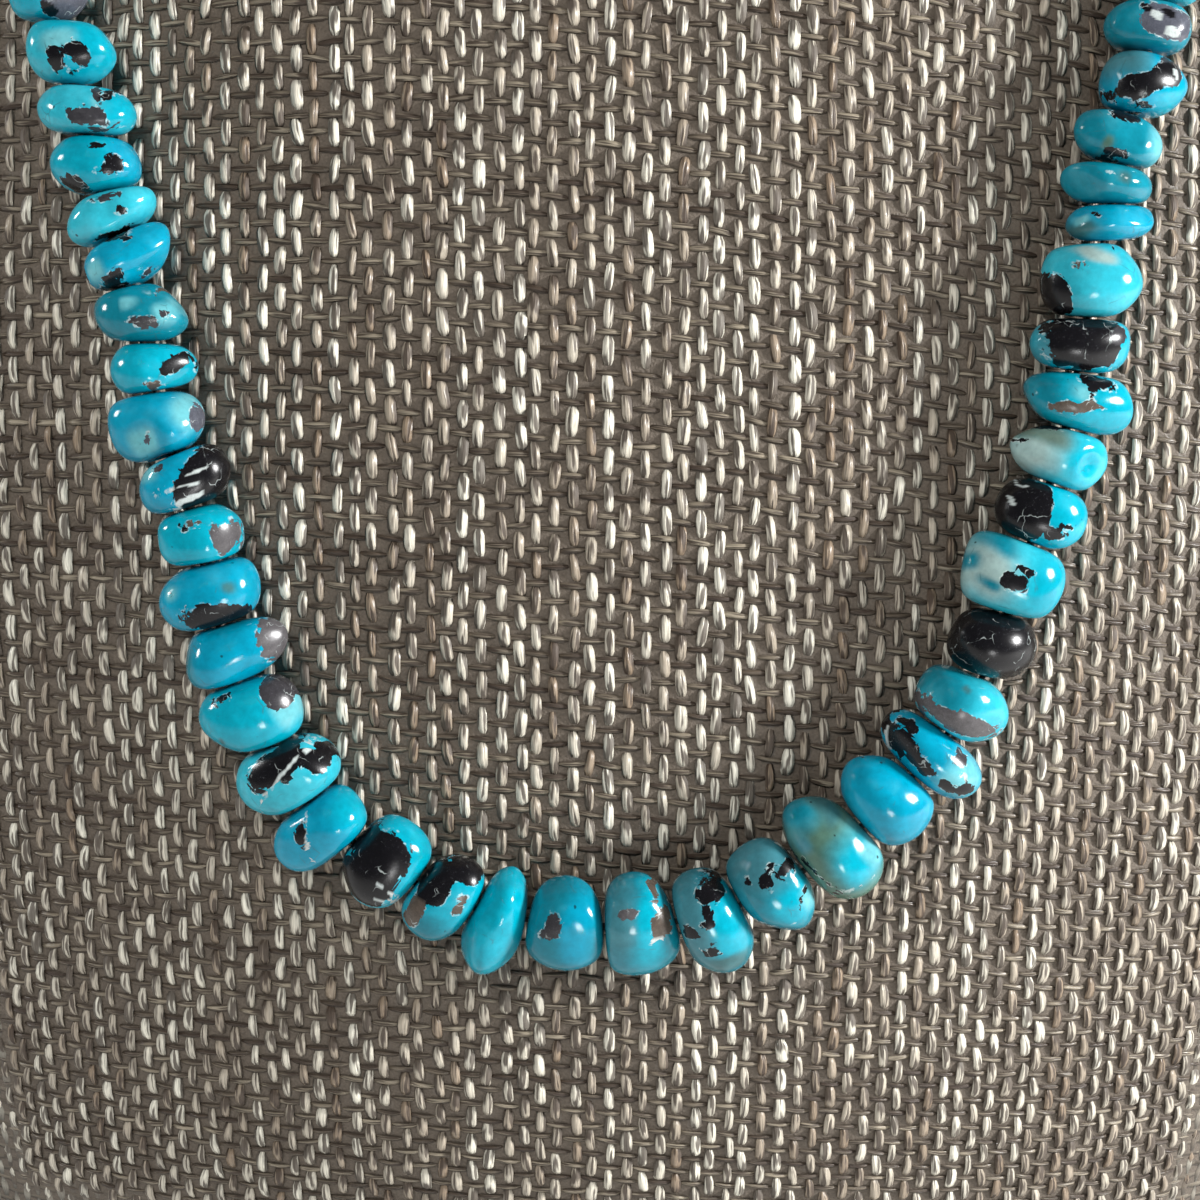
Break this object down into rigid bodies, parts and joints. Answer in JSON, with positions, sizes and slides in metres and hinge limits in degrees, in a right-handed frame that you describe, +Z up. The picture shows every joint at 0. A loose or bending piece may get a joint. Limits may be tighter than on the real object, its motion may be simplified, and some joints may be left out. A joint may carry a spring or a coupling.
{
  "type": "beaded necklace on a neck bust",
  "caption": "Strand of polished turquoise nugget beads worn as a U on a neck bust covered in coarse woven cloth.",
  "frame": {"origin": "middle of the bust's flat base", "axes": "+Z up along the neck, -Y to the chest that carries the strand, +X to the viewer's right when facing the chest"},
  "size_m": [0.1892, 0.1357, 0.248],
  "materials": {
    "woven_cloth": "coarse plain weave of jute and flax threads, grey-beige warp over a browner weft",
    "turquoise_stone": "polished, waxy gloss, with patches and veins of dark host rock",
    "host_rock_stone": "polished, mostly dark host rock with edges of turquoise",
    "beading_thread": "dark waxed thread",
    "silver_metal": "smooth polished silver-coloured metal"
  },
  "bodies": {
    "root": {"neck_bust": "woven_cloth", "stone_01": "host_rock_stone", "stone_02": "turquoise_stone", "stone_03": "turquoise_stone", "stone_04": "turquoise_stone", "stone_05": "turquoise_stone", "stone_06": "turquoise_stone", "stone_07": "turquoise_stone", "stone_08": "turquoise_stone", "stone_09": "turquoise_stone", "stone_10": "turquoise_stone", "stone_11": "turquoise_stone", "stone_12": "turquoise_stone", "stone_13": "turquoise_stone", "stone_14": "turquoise_stone", "stone_15": "turquoise_stone", "stone_16": "turquoise_stone", "stone_17": "host_rock_stone", "stone_18": "host_rock_stone", "stone_19": "turquoise_stone", "stone_20": "turquoise_stone", "stone_21": "turquoise_stone", "stone_22": "turquoise_stone", "stone_23": "turquoise_stone", "stone_24": "turquoise_stone", "stone_25": "turquoise_stone", "stone_26": "turquoise_stone", "stone_27": "turquoise_stone", "stone_28": "host_rock_stone", "stone_29": "turquoise_stone", "stone_30": "host_rock_stone", "stone_31": "turquoise_stone", "stone_32": "turquoise_stone", "stone_33": "host_rock_stone", "stone_34": "turquoise_stone", "stone_35": "turquoise_stone", "stone_36": "turquoise_stone", "stone_37": "turquoise_stone", "stone_38": "turquoise_stone", "stone_39": "turquoise_stone", "stone_40": "turquoise_stone", "thread": "beading_thread", "right_shoulder_stones": "turquoise_stone", "right_neck_stones": "turquoise_stone", "clasp": "silver_metal", "left_neck_stones": "turquoise_stone", "left_shoulder_stones": "turquoise_stone"}
  },
  "joints": []
}
